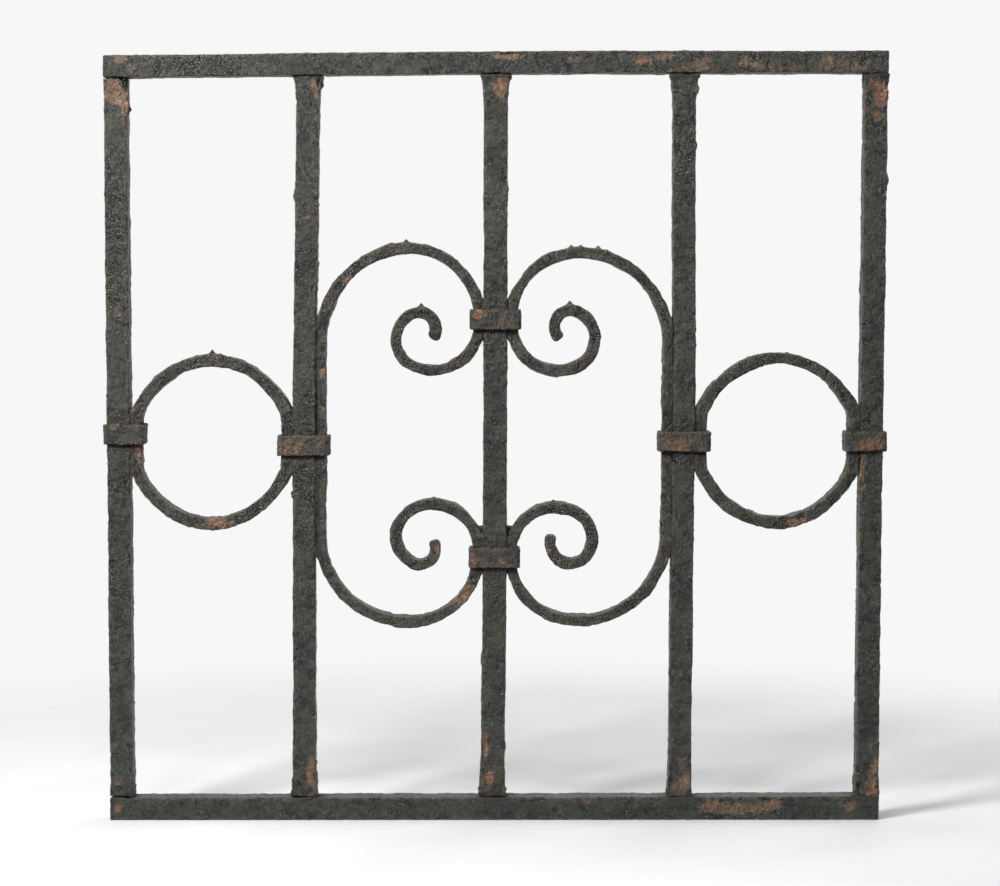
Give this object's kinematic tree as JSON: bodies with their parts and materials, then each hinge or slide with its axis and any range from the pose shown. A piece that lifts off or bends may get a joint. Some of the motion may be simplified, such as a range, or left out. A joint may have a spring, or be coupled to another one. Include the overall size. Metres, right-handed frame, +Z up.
{
  "type": "window security bar",
  "caption": "Forged iron window grille: uprights tenoned into a top and a bottom rail, with collared rings and a pair of C-scrolls.",
  "frame": {"origin": "centre of the bottom rail's underside, midway between its ends and its front and back faces", "axes": "+X to the right along the rails as seen from the front, +Z up along the uprights, the front of the grille faces -Y"},
  "size_m": [0.6342, 0.0246, 0.6205],
  "materials": {
    "rail_paint": "satin",
    "bar_paint": "satin",
    "scroll_paint": "satin",
    "collar_paint": "satin",
    "packing_iron": "matte"
  },
  "bodies": {
    "root": {"top_rail": "rail_paint", "bottom_rail": "rail_paint", "left_stile": "bar_paint", "right_stile": "bar_paint", "inner_left_bar": "bar_paint", "centre_bar": "bar_paint", "inner_right_bar": "bar_paint", "left_ring": "scroll_paint", "right_ring": "scroll_paint", "left_c_scroll": "scroll_paint", "right_c_scroll": "scroll_paint", "left_packing": "packing_iron", "right_packing": "packing_iron", "inner_left_bar_top_foot": "bar_paint", "inner_left_bar_bottom_foot": "bar_paint", "centre_bar_top_foot": "bar_paint", "centre_bar_bottom_foot": "bar_paint", "inner_right_bar_top_foot": "bar_paint", "inner_right_bar_bottom_foot": "bar_paint", "left_c_scroll_upper_curl": "scroll_paint", "left_c_scroll_lower_curl": "scroll_paint", "right_c_scroll_upper_curl": "scroll_paint", "right_c_scroll_lower_curl": "scroll_paint", "left_stile_collar": "collar_paint", "inner_left_collar": "collar_paint", "upper_centre_collar": "collar_paint", "lower_centre_collar": "collar_paint", "inner_right_collar": "collar_paint", "right_stile_collar": "collar_paint"}
  },
  "joints": []
}
